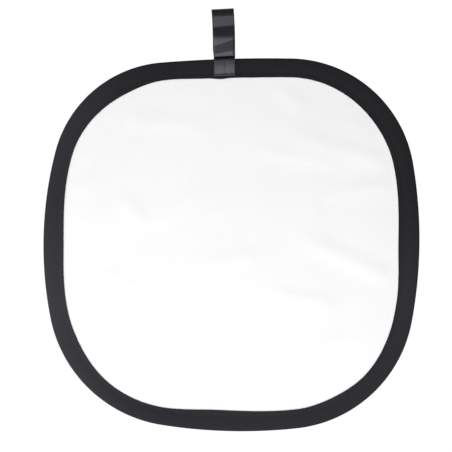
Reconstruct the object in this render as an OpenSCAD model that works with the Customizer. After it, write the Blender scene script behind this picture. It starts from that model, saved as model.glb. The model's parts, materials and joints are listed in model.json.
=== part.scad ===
// Collapsible backdrop panel: a twist-fold spring-steel hoop in a folded black binding, with a white
// fabric face, a black fabric face behind it, and a ribbon loop to hang it by.
// Millimetres. The panel hangs as in use: +Z is up, the white face looks along -Y.
// The origin is the axis of the peg that the ribbon loop hangs on.
// Above and below the fold line each ring and sheet is its own solid, so the two halves can fold.

/* [Panel] */
// Width over the outside of the binding
panel_w = 340; // [330:1:350]
// Height over the outside of the binding
panel_h = 337; // [330:1:344]
// Radius of the bowed top edge
top_r = 850; // [700:10:1000]
// Radius of the bowed left and right edges
side_r = 376; // [350:2:420]
// Radius of the bowed bottom edge
bottom_r = 492; // [460:2:560]
// Radius of the two upper corners
top_corner_r = 110; // [100:1:116]
// Radius of the two lower corners
bottom_corner_r = 122; // [112:1:128]

/* [Binding] */
// Width of the folded tape, from the outer edge to its sewn inner edge
binding_w = 18; // [16:0.5:22]
// Thickness of the tape
tape_t = 0.5; // [0.4:0.05:0.6]
// Thickness of the whole rim over the hoop
rim_t = 6.2; // [6:0.1:8]
// Distance from the outer edge to where the tape's two legs lie flat
taper_d = 13.5; // [10:0.5:14]
// Distance from the outer edge to the stitching
stitch_d = 15.6; // [15:0.1:15.8]
// Length of the lap where the tape's ends meet, under the strap
lap_l = 15; // [10:1:17]

/* [Spring hoop] */
// Width of the spring-steel strip, across the panel's thickness
hoop_w = 4; // [3.5:0.1:4.1]
// Thickness of the strip
hoop_t = 0.8; // [0.6:0.1:0.9]
// Distance from the outer edge to the strip
hoop_d = 1.3; // [1.3:0.1:1.8]
// Length of the sleeve that joins the strip's ends
joiner_l = 32; // [26:1:50]
// Wall of the joining sleeve
joiner_t = 0.3; // [0.2:0.05:0.3]
// Diameter of each rivet in the sleeve
rivet_d = 1.6; // [1.2:0.1:2]

/* [Faces] */
// Thickness of each fabric face
cloth_t = 0.4; // [0.3:0.05:0.4]
// Distance from the outer edge to the fabric's cut edge, inside the binding
cloth_d = 4; // [3.5:0.5:8]

/* [Strap] */
// Width of the ribbon
ribbon_w = 20; // [19:1:25]
// Thickness of the ribbon
ribbon_t = 0.8; // [0.6:0.1:0.9]
// Radius inside the top of the loop, where the peg sits
peg_r = 5; // [4:0.5:6]
// Height from the rim's top edge to the peg's axis
drop = 40; // [36:1:60]
// Distance from the strap's middle to the panel's middle
strap_offset = 6.5; // [0:0.5:20]

/* [Folding] */
// Fold angle that the cut ends of the rim leave room for
relief_angle = 156; // [120:2:160]
// Half the gap at the fold line
fold_gap = 0.4; // [0.3:0.1:1]

/* [Hidden] */
$fn = 96;

layer_gap = 0.05;                          // between cloth, tape and thread
cloth_half = layer_gap + cloth_t;          // outside of a face, from the panel's mid-plane
tape_half = cloth_half + layer_gap + tape_t;
rim_half = rim_t / 2;
nose_r = 1.1;                              // rounding of the rim's outer corners
nose_steps = 3;                            // facets in that rounding
thread_w = 0.5;
thread_t = 0.3;
side_steps = 3;                            // straight stretches in each side arc above the fold line
corner_steps = 11;                         // in each corner
edge_steps = 3;                            // in the top and the bottom edge

fold_z = -drop - edge_height(top_r, top_corner_r);

wrap_in = layer_gap + tape_t + layer_gap;  // clear of the lap beneath it
wrap_out = wrap_in + ribbon_t;
wrap_d = binding_w - 1.5;                  // the wrap ends just short of the binding's inner edge
foot_seam_d = wrap_d - 1;                  // stitching across the wrap's two ends
foot_seam_l = 0.8 * ribbon_w;
swing_rise = 1.2;                          // from the top of the wrap to the axis above it
swing_z = -drop + wrap_out + swing_rise;   // axis the panel swings about
swivel_z = -30;                            // height at which the ribbon twists
body_gap = 0.3;                            // between pieces that turn on each other
neck_half = layer_gap * 2 + ribbon_t;      // the two layers of ribbon, side by side

rivet_from_joint = [4, 11];                // each way along the strip from its butted ends
rivet_head_t = 0.25;
sleeve_in = 0.05;                          // play between the sleeve and the strip
rivet_head_over = 0.4;                     // that a head stands out round its shank
head_play = 0.02;                          // between a head and the sleeve
butt_gap = 0.4;                            // between the strip's ends
strip_cut_d = 2 * hoop_d + hoop_t;         // depth of a cut right through the strip
relief_margin = 2;                         // from the fold relief to the nearest facet of the rim
overcut = 10;                              // that the relief's shape runs past the panel

// Where two circles meet: centre p with radius a, centre q with radius b, to the left of p -> q.
function meet(p, a, q, b) =
    let (d = norm(q - p), t = (a * a - b * b + d * d) / (2 * d), h = sqrt(a * a - t * t))
    p + t * (q - p) / d + h * [p.y - q.y, q.x - p.x] / d;

// Centres of a half's arcs, with the fold line along y = 0 and the half's edge upwards.
function side_centre() = [panel_w / 2 - side_r, 0];
function edge_centre(edge_r) = [0, panel_h / 2 - edge_r];
function corner_centre(edge_r, corner_r) =
    meet(side_centre(), side_r - corner_r, edge_centre(edge_r), edge_r - corner_r);
function heading(from, to) = atan2(to.y - from.y, to.x - from.x);

// A half's arcs, right to left: [centre, radius, first angle, last angle].
function half_arcs(edge_r, corner_r) =
    let (side = side_centre(), edge = edge_centre(edge_r), corner = corner_centre(edge_r, corner_r),
         low = heading(side, corner), high = heading(edge, corner))
    [[side, side_r, 0, low],
     [corner, corner_r, low, high],
     [edge, edge_r, high, 180 - high],
     [[-corner.x, corner.y], corner_r, 180 - high, 180 - low],
     [[-side.x, side.y], side_r, 180 - low, 180]];

// How far a half's edge stands off the fold line, at the middle of its straight middle stretch.
function edge_height(edge_r, corner_r) =
    let (edge = edge_centre(edge_r))
    edge.y + edge_r * cos((90 - heading(edge, corner_centre(edge_r, corner_r))) / edge_steps);

// Height that the fold relief takes from a point at height v off the mid-plane.
function relief(v) = fold_gap + abs(v) * tan(relief_angle / 2);
// Angle up the side arc that is clear of the relief at any height.
function clear_angle() = asin((relief(rim_half) + relief_margin) / (side_r - binding_w));

// Stations round a half, right to left: [centre, radius, angle]. Neighbouring arcs share one.
function stations(edge_r, corner_r) =
    let (arcs = half_arcs(edge_r, corner_r),
         steps = [side_steps, corner_steps, edge_steps, corner_steps, side_steps])
    [for (k = [0 : 4], i = [(k == 0 ? 0 : 1) : steps[k]])
        let (from = k == 0 ? clear_angle() : arcs[k][2],
             to = k == 4 ? 180 - clear_angle() : arcs[k][3])
        [arcs[k][0], arcs[k][1], from + (to - from) * i / steps[k]]];

// Where a section's point p = [minus the distance in, height v] lies at a station.
function at_station(s, p) =
    [s[0].x + (s[1] + p.x) * cos(s[2]), s[0].y + (s[1] + p.x) * sin(s[2]), p.y];
// The same on the right-hand fold relief.
function at_fold(p) =
    let (r = side_r + p.x)
    [side_centre().x + sqrt(r * r - relief(p.y) * relief(p.y)), relief(p.y), p.y];

// The half's outline, set in by d from the outer edge, down to the fold line.
function half_outline(edge_r, corner_r, d) =
    let (foot = side_centre().x + side_r - d, path = stations(edge_r, corner_r))
    concat([[foot, 0]], [for (s = path) let (p = at_station(s, [-d, 0])) [p.x, p.y]], [[-foot, 0]]);

// A section is the strip between an outer and an inner line of as many points each:
// [minus the distance in from the outer edge, height off the mid-plane], front to rear.

// The front of the rim's section, offset outwards by f.
function rim_front(f, leg_d) =
    concat([[-leg_d, tape_half + f], [-taper_d, tape_half + f]],
           [for (i = [0 : nose_steps]) let (a = 90 - 90 * i / nose_steps)
               [-nose_r + (nose_r + f) * cos(a), rim_half - nose_r + (nose_r + f) * sin(a)]]);
function reversed(list) = [for (i = [len(list) - 1 : -1 : 0]) list[i]];
function mirrored(list) = [for (p = list) [p.x, -p.y]];
function rim_line(f, leg_d) =
    concat(rim_front(f, leg_d), [[f, 0]], reversed(mirrored(rim_front(f, leg_d))));

// A layer of cloth folded round the rim, between the offsets f_in and f_out.
function folded(f_in, f_out, leg_d) = [rim_line(f_out, leg_d), rim_line(f_in, leg_d)];
// The hoop's strip, grown by g all round.
function strip(g) =
    [for (d = [hoop_d - g, hoop_d + hoop_t + g]) [for (side = [1, 0, -1]) [-d, side * (hoop_w / 2 + g)]]];
// A thread at distance d in, lying on the surface at height h, on the side given by its sign.
function thread(d, h) =
    let (t = h + sign(h) * thread_t)
    [for (w = [-thread_w / 2, thread_w / 2]) [[w - d, max(h, t)], [w - d, min(h, t)]]];

module section(lines) {
    polygon(concat(lines[0], reversed(lines[1])));
}

// A section carried round a whole half, from fold relief to fold relief.
module round_half(edge_r, corner_r, lines) {
    ring = concat(lines[0], reversed(lines[1]));
    n = len(ring);
    path = stations(edge_r, corner_r);
    last = (len(path) + 1) * n;
    near = [for (p = ring) at_fold(p)];
    far = [for (p = near) [-p.x, p.y, p.z]];
    points = concat(near, [for (s = path, p = ring) at_station(s, p)], far);
    walls = [for (k = [0 : len(path)], j = [0 : n - 1])
        let (a = k * n + j, b = k * n + (j + 1) % n)
        each [[a, a + n, b + n], [a, b + n, b]]];
    ends = [for (j = [0 : n / 2 - 2])
        let (m = n - 1 - j)
        each [[j, j + 1, m - 1], [j, m - 1, m],
              [last + j, last + m - 1, last + j + 1], [last + j, last + m, last + m - 1]]];
    polyhedron(points = points, faces = concat(walls, ends));
}

// A section carried along the straight middle of an edge, from x0 to x1.
module along_middle(edge_r, corner_r, x0, x1) {
    translate([x0, edge_height(edge_r, corner_r), 0])
        rotate([90, 0, 90])
            linear_extrude(height = x1 - x0)
                children();
}

// The room that the fold needs: a bow tie in section, narrow at the fold line.
module fold_relief() {
    s = 2 * cloth_half;
    rotate([90, 0, 90])
        linear_extrude(height = panel_w + 2 * overcut, center = true)
            polygon([[-relief(s), -s], [-fold_gap, 0], [-relief(s), s],
                     [relief(s), s], [fold_gap, 0], [relief(s), -s]]);
}

// Stands a flat half up in its place. The flat half's +z becomes the front.
module upper() {
    translate([strap_offset, 0, fold_z])
        rotate([90, 0, 0])
            children();
}

module lower() {
    translate([strap_offset, 0, fold_z])
        mirror([0, 0, 1])
            rotate([90, 0, 0])
                children();
}

module cloth_half_sheet(edge_r, corner_r, z) {
    difference() {
        translate([0, 0, z])
            linear_extrude(height = cloth_t)
                polygon(half_outline(edge_r, corner_r, cloth_d));
        fold_relief();
    }
}

// A cylinder across the strip at each rivet's place, from d0 to d1 in from the outer edge.
module at_rivets(r, d0, d1) {
    for (side = [-1, 1], away = rivet_from_joint)
        translate([side * away, edge_height(bottom_r, bottom_corner_r) - d1, 0])
            rotate([-90, 0, 0])
                cylinder(r = r, h = d1 - d0);
}

module strap_loop() {
    leg = [[peg_r, 0], [peg_r, -peg_r], [neck_half - ribbon_t, swivel_z + body_gap],
           [neck_half, swivel_z + body_gap], [peg_r + ribbon_t, -peg_r], [peg_r + ribbon_t, 0]];
    color("#34343a")
        rotate([90, 0, 90])
            linear_extrude(height = ribbon_w, center = true) {
                intersection() {
                    difference() {
                        circle(r = peg_r + ribbon_t);
                        circle(r = peg_r);
                    }
                    translate([-2 * peg_r, 0])
                        square([4 * peg_r, 2 * peg_r]);
                }
                polygon(leg);
                polygon(reversed([for (p = leg) [-p.x, p.y]]));
            }
}

module strap_neck() {
    color("#34343a")
        for (side = [-1, 1])
            translate([-ribbon_w / 2, side * (neck_half - ribbon_t / 2) - ribbon_t / 2, swing_z + body_gap / 2])
                cube([ribbon_w, ribbon_t, swivel_z - swing_z - body_gap / 2]);
}

module strap_wrap() {
    color("#3c3c42")
        upper()
            along_middle(top_r, top_corner_r, -strap_offset - ribbon_w / 2, -strap_offset + ribbon_w / 2)
                section(folded(wrap_in, wrap_out, wrap_d));
}

module strap_stitches() {
    h = tape_half + wrap_out + layer_gap / 2;
    from = -strap_offset - foot_seam_l / 2;
    color("#18181b")
        upper()
            for (side = [-1, 1])
                along_middle(top_r, top_corner_r, from, from + foot_seam_l)
                    section(thread(foot_seam_d, side * h));
}

module binding_lap() {
    color("#222226")
        upper()
            along_middle(top_r, top_corner_r, -strap_offset - lap_l / 2, -strap_offset + lap_l / 2)
                section(folded(layer_gap, layer_gap + tape_t, binding_w));
}

module binding_upper() {
    color("#28282d")
        upper()
            round_half(top_r, top_corner_r, folded(-tape_t, 0, binding_w));
}

module binding_lower() {
    color("#28282d")
        lower()
            round_half(bottom_r, bottom_corner_r, folded(-tape_t, 0, binding_w));
}

module binding_stitches_upper() {
    color("#151518")
        difference() {
            upper()
                for (side = [-1, 1])
                    round_half(top_r, top_corner_r, thread(stitch_d, side * (tape_half + layer_gap / 2)));
            translate([-ribbon_w / 2, -rim_half, -drop - binding_w])
                cube([ribbon_w, rim_t, binding_w]);
        }
}

module binding_stitches_lower() {
    color("#151518")
        lower()
            for (side = [-1, 1])
                round_half(bottom_r, bottom_corner_r, thread(stitch_d, side * (tape_half + layer_gap / 2)));
}

module hoop_upper() {
    color("#8d9298")
        upper()
            round_half(top_r, top_corner_r, strip(0));
}

module hoop_lower() {
    color("#8d9298")
        lower()
            difference() {
                round_half(bottom_r, bottom_corner_r, strip(0));
                at_rivets(rivet_d / 2 + sleeve_in, 0, strip_cut_d);
                translate([-butt_gap / 2, edge_height(bottom_r, bottom_corner_r) - strip_cut_d, -hoop_w])
                    cube([butt_gap, strip_cut_d, 2 * hoop_w]);
            }
}

module hoop_joiner() {
    color("#b0b4b8")
        lower()
            difference() {
                along_middle(bottom_r, bottom_corner_r, -joiner_l / 2, joiner_l / 2)
                    difference() {
                        section(strip(sleeve_in + joiner_t));
                        section(strip(sleeve_in));
                    }
                at_rivets(rivet_d / 2 + sleeve_in, 0, strip_cut_d);
            }
}

module joiner_rivets() {
    head_r = rivet_d / 2 + rivet_head_over;
    head_from = sleeve_in + joiner_t + head_play;
    head_to = head_from + rivet_head_t;
    color("#c8cacc")
        lower() {
            at_rivets(rivet_d / 2, hoop_d - head_to, hoop_d + hoop_t + head_to);
            at_rivets(head_r, hoop_d - head_to, hoop_d - head_from);
            at_rivets(head_r, hoop_d + hoop_t + head_from, hoop_d + hoop_t + head_to);
        }
}

module front_face_upper() {
    color("#f6f6f6")
        upper()
            cloth_half_sheet(top_r, top_corner_r, layer_gap);
}

module front_face_lower() {
    color("#f6f6f6")
        lower()
            cloth_half_sheet(bottom_r, bottom_corner_r, layer_gap);
}

module rear_face_upper() {
    color("#202024")
        upper()
            cloth_half_sheet(top_r, top_corner_r, -cloth_half);
}

module rear_face_lower() {
    color("#202024")
        lower()
            cloth_half_sheet(bottom_r, bottom_corner_r, -cloth_half);
}

strap_loop();
strap_neck();
strap_wrap();
strap_stitches();
binding_lap();
binding_upper();
binding_lower();
binding_stitches_upper();
binding_stitches_lower();
hoop_upper();
hoop_lower();
hoop_joiner();
joiner_rivets();
front_face_upper();
front_face_lower();
rear_face_upper();
rear_face_lower();
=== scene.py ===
import json
import logging
import math
from collections.abc import Callable, Iterable, Sequence
from dataclasses import dataclass, field
from enum import Enum

import bmesh
import bpy
import numpy as np
from mathutils import Matrix, Vector


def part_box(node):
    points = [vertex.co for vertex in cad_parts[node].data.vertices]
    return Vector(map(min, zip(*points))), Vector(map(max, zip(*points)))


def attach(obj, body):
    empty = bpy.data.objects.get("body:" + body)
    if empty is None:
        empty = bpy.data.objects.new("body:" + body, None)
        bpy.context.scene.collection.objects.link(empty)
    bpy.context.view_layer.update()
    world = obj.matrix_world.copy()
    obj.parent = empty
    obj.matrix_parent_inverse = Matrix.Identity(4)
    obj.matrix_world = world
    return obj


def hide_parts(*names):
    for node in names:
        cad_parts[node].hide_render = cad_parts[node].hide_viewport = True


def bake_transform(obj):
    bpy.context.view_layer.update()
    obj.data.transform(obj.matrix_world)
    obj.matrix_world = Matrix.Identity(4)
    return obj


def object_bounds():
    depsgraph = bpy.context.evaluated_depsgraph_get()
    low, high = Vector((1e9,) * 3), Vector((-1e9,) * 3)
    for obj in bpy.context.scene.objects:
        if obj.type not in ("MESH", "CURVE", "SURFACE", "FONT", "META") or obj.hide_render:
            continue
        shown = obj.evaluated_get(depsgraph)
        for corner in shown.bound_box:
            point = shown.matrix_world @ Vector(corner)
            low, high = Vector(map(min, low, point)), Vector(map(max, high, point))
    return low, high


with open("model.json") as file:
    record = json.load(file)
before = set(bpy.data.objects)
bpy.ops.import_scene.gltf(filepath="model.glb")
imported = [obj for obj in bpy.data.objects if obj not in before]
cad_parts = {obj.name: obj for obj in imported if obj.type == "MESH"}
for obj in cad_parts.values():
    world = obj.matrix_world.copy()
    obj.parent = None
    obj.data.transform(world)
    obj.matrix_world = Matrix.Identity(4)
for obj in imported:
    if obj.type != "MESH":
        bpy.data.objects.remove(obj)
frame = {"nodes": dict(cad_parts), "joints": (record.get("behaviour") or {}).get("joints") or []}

# Looks of a collapsible backdrop panel: a twist-fold spring-steel hoop in a folded black tape, a white
# cloth in front and a black one behind it, and a creased satin ribbon to hang it by.
# Metres. +Z is up and the white face looks along -Y. The origin is the peg the ribbon hangs on.

LOG = logging.getLogger("backdrop_panel")
CAD_LOW, CAD_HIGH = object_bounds()

MM = 0.001
TURN = 2 * math.pi
Pair = tuple[float, float]
Point = tuple[float, float, float]
Piece = bpy.types.Object
Material = bpy.types.Material
Tree = bpy.types.NodeTree
Node = bpy.types.Node
Socket = bpy.types.NodeSocket


class Weave(Enum):
    """How a cloth's threads cross, as the share of diagonal ribs in it."""

    PLAIN = 0.0
    TWILL = 1.0


class Layer(Enum):
    """A side of the panel, as the sign of its y."""

    FRONT = -1.0
    REAR = 1.0


# ---- small tools

def deselect() -> None:
    """Deselects every object."""
    bpy.ops.object.select_all(action="DESELECT")


def activate(obj: Piece) -> None:
    """Makes obj the only selected object, and the active one.

    Args:
        obj: the object.
    """
    deselect()
    obj.select_set(True)
    bpy.context.view_layer.objects.active = obj


def joint_named(name: str) -> dict:
    """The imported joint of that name."""
    return next(joint for joint in frame["joints"] if joint["name"] == name)


def smooth(t: np.ndarray | float) -> np.ndarray | float:
    """A smooth step from 0 at t = 0 to 1 at t = 1."""
    t = np.clip(t, 0.0, 1.0)
    return t * t * (3.0 - 2.0 * t)


def coordinates(obj: Piece) -> np.ndarray:
    """The object's vertices as an array of one row each.

    Args:
        obj: the mesh object.

    Returns:
        One (x, y, z) row for each vertex.
    """
    co = np.empty(len(obj.data.vertices) * 3, np.float32)
    obj.data.vertices.foreach_get("co", co)
    return co.reshape(-1, 3).astype(float)


def set_coordinates(obj: Piece, co: np.ndarray) -> None:
    """Moves the object's vertices to the rows of co."""
    obj.data.vertices.foreach_set("co", co.astype(np.float32).ravel())
    obj.data.update()


def set_uv(obj: Piece, per_vertex: np.ndarray) -> None:
    """Gives the mesh a UV map, in metres along and across the cloth.

    Args:
        obj: the mesh object.
        per_vertex: one (along, across) row for each vertex.
    """
    layer = obj.data.uv_layers.get("Cloth") or obj.data.uv_layers.new(name="Cloth")
    corner = np.empty(len(obj.data.loops), np.int32)
    obj.data.loops.foreach_get("vertex_index", corner)
    layer.data.foreach_set("uv", per_vertex[corner].astype(np.float32).ravel())


def in_edit_mode(obj: Piece, work: Callable[[], None]) -> None:
    """Runs work in edit mode with the whole mesh selected.

    Args:
        obj: the mesh object.
        work: what is done in edit mode.
    """
    activate(obj)
    bpy.ops.object.mode_set(mode="EDIT")
    bpy.ops.mesh.select_all(action="SELECT")
    work()
    bpy.ops.object.mode_set(mode="OBJECT")


def apply_modifiers(obj: Piece) -> None:
    """Applies every modifier, in order.

    Args:
        obj: the mesh object.
    """
    activate(obj)
    for modifier in list(obj.modifiers):
        bpy.ops.object.modifier_apply(modifier=modifier.name)


def shade(obj: Piece, degrees: float = 35.0) -> None:
    """Smooths the shading across edges flatter than that angle."""
    activate(obj)
    bpy.ops.object.shade_smooth_by_angle(angle=math.radians(degrees))


def thicken(obj: Piece, thickness: float, offset: float = 0.0) -> None:
    """Gives a sheet its thickness, with closed edges.

    Args:
        obj: the sheet.
        thickness: how thick it becomes.
        offset: from -1, all inwards, to 1, all outwards.
    """
    solidify = obj.modifiers.new("thickness", "SOLIDIFY")
    solidify.thickness = thickness
    solidify.offset = offset
    solidify.use_even_offset = True
    apply_modifiers(obj)


# ---- the panel's outline

@dataclass(frozen=True)
class Arc:
    """An arc of the outline, seen from the front and run anticlockwise."""

    centre: Pair
    radius: float
    start: float
    sweep: float

    def at(self, turned: float, inset: float) -> Pair:
        """The (x, z) place after turning that far, at a distance in from the outline.

        Args:
            turned: the angle turned from the start.
            inset: the distance in.

        Returns:
            The place.
        """
        angle = self.start + turned
        reach = self.radius - inset
        return self.centre[0] + reach * math.cos(angle), self.centre[1] + reach * math.sin(angle)

    def part(self, begin: float, end: float) -> "Arc":
        """The stretch of the arc between two turns."""
        return Arc(self.centre, self.radius, self.start + begin, end - begin)


@dataclass(frozen=True)
class Station:
    """A place along the outline: how far along it is, and the arc and turn that it is on."""

    run: float
    arc: Arc
    turned: float

    def at(self, inset: float, height: float) -> Point:
        """The point at a distance in from the outline and a height towards the front."""
        x, z = self.arc.at(self.turned, inset)
        return x, Layer.FRONT.value * height, z

    def outward(self) -> Vector:
        """The direction away from the panel's middle here."""
        angle = self.arc.start + self.turned
        return Vector((math.cos(angle), 0.0, math.sin(angle)))

    def along(self) -> Vector:
        """The direction of the run here."""
        angle = self.arc.start + self.turned
        return Vector((-math.sin(angle), 0.0, math.cos(angle)))


@dataclass(frozen=True)
class Bow:
    """A bowed edge of the panel, where a hand-sewn panel is never quite even.

    along is how far its outermost point lies off the panel's middle, to the right or up, and out is
    how far that point stands outside the even panel's edge.
    """

    radius: float
    along: float
    out: float


@dataclass(frozen=True)
class Outline:
    """The outer edge of the binding: four bowed edges and four round corners, in tangent arcs.

    The bows run top, left, bottom, right, and each corner follows its bow.
    """

    x: float
    z: float
    width: float
    height: float
    bows: tuple[Bow, Bow, Bow, Bow] = (
        Bow(1200 * MM, 33 * MM, 0.3 * MM),
        Bow(340 * MM, -1 * MM, 0.1 * MM),
        Bow(468 * MM, 10 * MM, 0.8 * MM),
        Bow(407 * MM, 5 * MM, 0.8 * MM),
    )
    corners: tuple[float, float, float, float] = (108 * MM, 122 * MM, 119 * MM, 114 * MM)

    def ring(self) -> list[Arc]:
        """The whole outline anticlockwise, from the right end of the top edge.

        Returns:
            A bow and its corner in turn, eight arcs in all.
        """
        ways = [Vector((0, 1)), Vector((-1, 0)), Vector((0, -1)), Vector((1, 0))]
        halves = [self.height / 2, self.width / 2] * 2
        middles = [
            Vector((self.x, self.z))
            + way * (half + bow.out - bow.radius)
            + Vector((way.y**2, way.x**2)) * bow.along
            for bow, way, half in zip(self.bows, ways, halves, strict=True)
        ]
        rounds = [self.corner(middles, ways, k) for k in range(4)]
        arcs = []
        for k in range(4):
            entry, leave, next_entry = (
                math.atan2(to.y - at.y, to.x - at.x)
                for at, to in (
                    (middles[k], rounds[k - 1]),
                    (middles[k], rounds[k]),
                    (middles[(k + 1) % 4], rounds[k]),
                )
            )
            arcs.append(Arc(tuple(middles[k]), self.bows[k].radius, entry, (leave - entry) % TURN))
            arcs.append(Arc(tuple(rounds[k]), self.corners[k], leave, (next_entry - leave) % TURN))
        return arcs

    def corner(self, middles: list[Vector], ways: list[Vector], k: int) -> Vector:
        """The centre of the corner after bow k, tangent inside to that bow and the next.

        Args:
            middles: the centres of the bows.
            ways: the direction that each bow faces.
            k: which bow.

        Returns:
            The centre, as (x, z).
        """
        after = (k + 1) % 4
        here, there = middles[k], middles[after]
        near, far = self.bows[k].radius - self.corners[k], self.bows[after].radius - self.corners[k]
        away = there - here
        along = (near**2 - far**2 + away.length_squared) / (2 * away.length)
        unit = away.normalized()
        across = Vector((unit.y, -unit.x)) * math.sqrt(near**2 - along**2)
        if across.dot(ways[k] + ways[after]) < 0:
            across.negate()
        return here + unit * along + across

    def started(self, bow: int, x: float, gap: float = 0.0) -> list[Arc]:
        """The ring started and ended where the top (0) or the bottom (2) bow passes x.

        Args:
            bow: which bow it starts on.
            x: where.
            gap: the length left out between its end and its start.

        Returns:
            Nine arcs, end to end.
        """
        arcs = self.ring()
        split = arcs[2 * bow]
        lean = math.acos((x - split.centre[0]) / split.radius) * (1 if bow == 0 else -1)
        cut, clear = (lean - split.start) % TURN, gap / 2 / split.radius
        first, last = split.part(cut + clear, split.sweep), split.part(0, cut - clear)
        return [first, *arcs[2 * bow + 1 :], *arcs[: 2 * bow], last]

    def top_at(self, x: float) -> Pair:
        """Height and slope of the top edge at x.

        Args:
            x: the place across.

        Returns:
            The height, and the rise for each step to the right.
        """
        top = self.ring()[0]
        off = x - top.centre[0]
        rise = math.sqrt(top.radius**2 - off**2)
        return top.centre[1] + rise, -off / rise


def steps_for(arc: Arc, pitch: float) -> int:
    """How many steps of about that length an arc takes."""
    return max(1, round(arc.radius * arc.sweep / pitch))


def stations(arcs: Sequence[Arc], pitch: float) -> list[Station]:
    """Places along the arcs at about that pitch, the first and the last ends included.

    Args:
        arcs: the arcs, end to end.
        pitch: the length of a step.

    Returns:
        The places in order.
    """
    found = [Station(0.0, arcs[0], 0.0)]
    run = 0.0
    for arc in arcs:
        count = steps_for(arc, pitch)
        found += [Station(run + arc.radius * arc.sweep * k / count, arc, arc.sweep * k / count)
                  for k in range(1, count + 1)]
        run += arc.radius * arc.sweep
    return found


def evenly_along(arcs: Sequence[Arc], pitch: float) -> list[Station]:
    """Places along the arcs at exactly equal steps nearest to that pitch.

    Args:
        arcs: the arcs, end to end.
        pitch: the length of a step.

    Returns:
        The places in order.
    """
    total = sum(arc.radius * arc.sweep for arc in arcs)
    count = round(total / pitch)
    found = []
    for k in range(count):
        run = total * (k + 0.5) / count
        left = run
        for arc in arcs:
            length = arc.radius * arc.sweep
            if left <= length:
                found.append(Station(run, arc, left / arc.radius))
                break
            left -= length
    return found


def spin_section(name: str, section: Sequence[Pair], arcs: Sequence[Arc],
                 pitch: float) -> tuple[Piece, list[Station]]:
    """Spins a filled section through each arc in turn, so that it runs round the panel.

    Args:
        name: the new object's name.
        section: its corners in order, each (distance in from the outline, height to the front).
        arcs: the arcs to run along.
        pitch: the length of a step.

    Returns:
        The object, and the station of each ring of its vertices.
    """
    places = stations(arcs, pitch)
    deselect()
    bpy.ops.mesh.primitive_circle_add(vertices=len(section), radius=MM, fill_type="NGON")
    obj = bpy.context.object
    obj.name = name
    for vertex, (inset, height) in zip(obj.data.vertices, section, strict=True):
        vertex.co = places[0].at(inset, height)

    def work() -> None:
        """Spins the section along every arc."""
        for arc in arcs:
            centre = (arc.centre[0], 0.0, arc.centre[1])
            bpy.ops.mesh.spin(steps=steps_for(arc, pitch), angle=arc.sweep, center=centre, axis=(0, 1, 0))

    in_edit_mode(obj, work)
    return obj, places


def face_outwards(obj: Piece) -> None:
    """Makes a closed mesh's normals point out."""
    in_edit_mode(obj, lambda: bpy.ops.mesh.normals_make_consistent(inside=False))


def single_stitch(size: Point) -> Piece:
    """One stitch along X: a short rounded thread, tapered to where it sinks in.

    Args:
        size: its length, width and height.

    Returns:
        The stitch, at the origin.
    """
    deselect()
    bpy.ops.mesh.primitive_uv_sphere_add(segments=6, ring_count=5, radius=0.5)
    stitch = bpy.context.object
    stitch.data.transform(Matrix.Diagonal((*size, 1.0)) @ Matrix.Rotation(math.pi / 2, 4, "Y"))
    return stitch


def repeated(one: Piece, places: Sequence[Matrix], name: str) -> Piece:
    """A row of copies of a piece, as one object.

    Args:
        one: the piece, which becomes the row.
        places: where each copy goes.
        name: the row's name.

    Returns:
        The row.
    """
    mesh = bmesh.new()
    for place in places:
        before = len(mesh.verts)
        mesh.from_mesh(one.data)
        mesh.verts.ensure_lookup_table()
        bmesh.ops.transform(mesh, matrix=place, verts=mesh.verts[before:])
    mesh.to_mesh(one.data)
    mesh.free()
    one.name = name
    face_outwards(one)
    shade(one, 60)
    return one


# ---- shader groups

NOISE_MIDDLE = (0.3, 0.7)                                # where most of a noise's values lie
GAP_HEIGHTS = (0.28, 0.02)                               # thread heights where a gap begins and is whole
YARN_SCALES = ((60.0, 900.0, 1.0), (900.0, 60.0, 1.0))   # thick and thin places of the two yarns
FINER = 22.0                                             # how much finer the fine mottle is


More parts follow.
